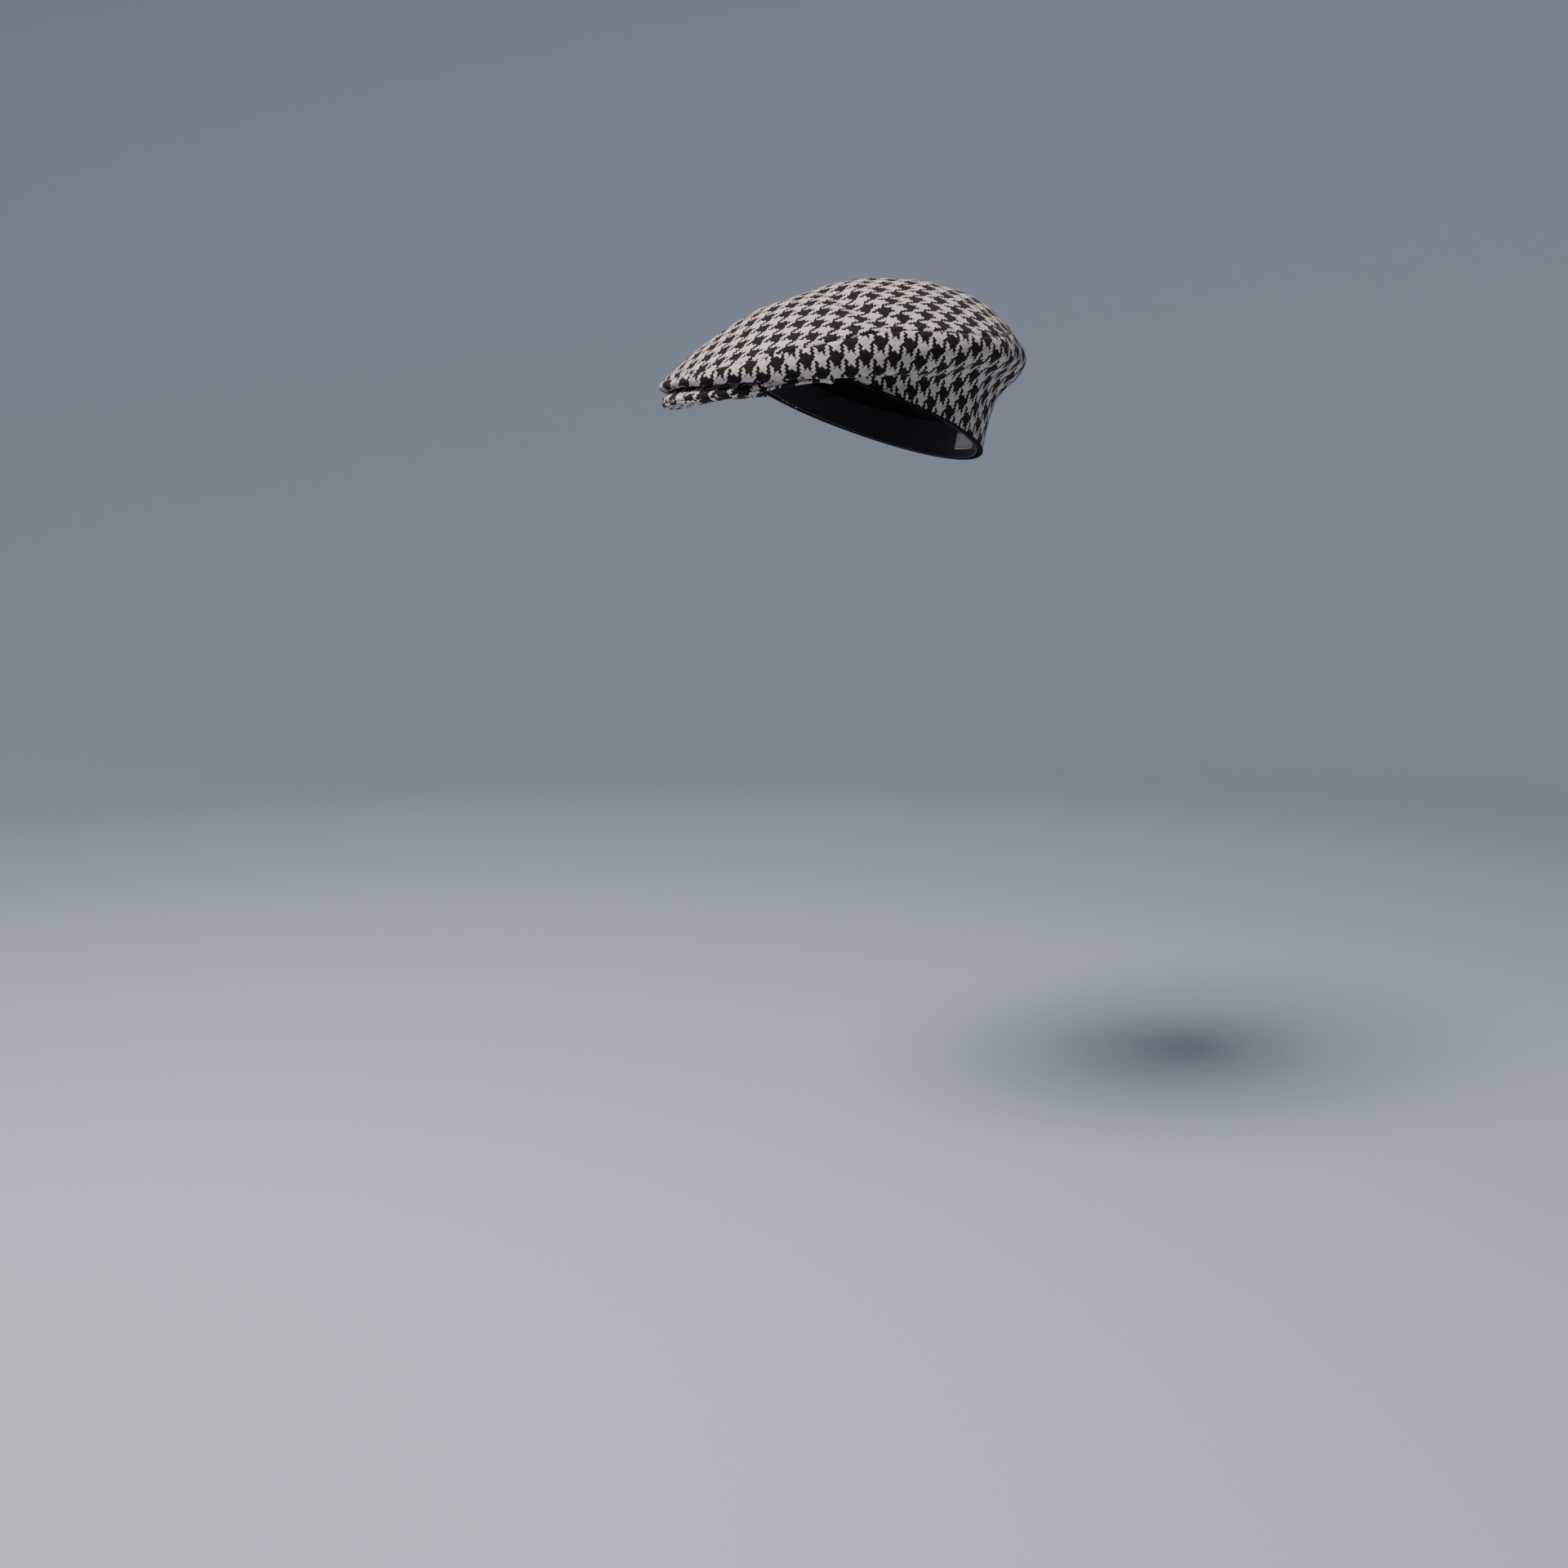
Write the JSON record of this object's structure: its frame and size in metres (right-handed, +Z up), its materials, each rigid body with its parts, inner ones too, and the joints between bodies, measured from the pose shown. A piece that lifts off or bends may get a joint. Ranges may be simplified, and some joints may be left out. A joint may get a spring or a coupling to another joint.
{
  "type": "flat cap",
  "caption": "Houndstooth wool flat cap with a top panel, side panels, a lining, a sweatband and a stiffened brim held by a press stud.",
  "frame": {"origin": "centre of the head opening, whose plane is tilted back by about 20 degrees so that its front edge is up, as the cap is worn", "axes": "+Z up as worn, -Y towards the tip of the brim, +X towards the wearer's left"},
  "size_m": [0.2214, 0.288, 0.1348],
  "materials": {
    "houndstooth_wool": "charcoal and cream houndstooth wool, slightly fuzzy, matt",
    "felt_interlining": "pressed felt interlining, matt",
    "satin_lining": "black satin lining with a soft sheen",
    "sweatband_cloth": "black ribbed cotton sweatband, matt",
    "woven_tape": "black woven tape, matt",
    "blank_label": "blank woven label, matt",
    "brim_board": "flexible plastic brim board, matt",
    "stud_metal": "dark oxidised brass press stud, half gloss"
  },
  "bodies": {
    "crown": {"crown_top_panel": "houndstooth_wool", "side_panel_left": "houndstooth_wool", "side_panel_right": "houndstooth_wool", "crown_interlining": "felt_interlining", "lining_top": "satin_lining", "lining_side_left": "satin_lining", "lining_side_right": "satin_lining", "sweatband": "sweatband_cloth", "hem_binding": "woven_tape", "back_seam_tape": "woven_tape", "size_label": "blank_label", "press_stud_socket": "stud_metal"},
    "brim": {"brim_board": "brim_board", "brim_top_cover": "houndstooth_wool", "brim_under_cover": "houndstooth_wool", "press_stud_ball": "stud_metal"}
  },
  "joints": [
    {"name": "brim_hinge", "type": "hinge", "parent": "crown", "child": "brim", "pos_m": [0, -0.072, 0.022], "axis": [1, 0, 0], "range_deg": [0, 6]}
  ]
}
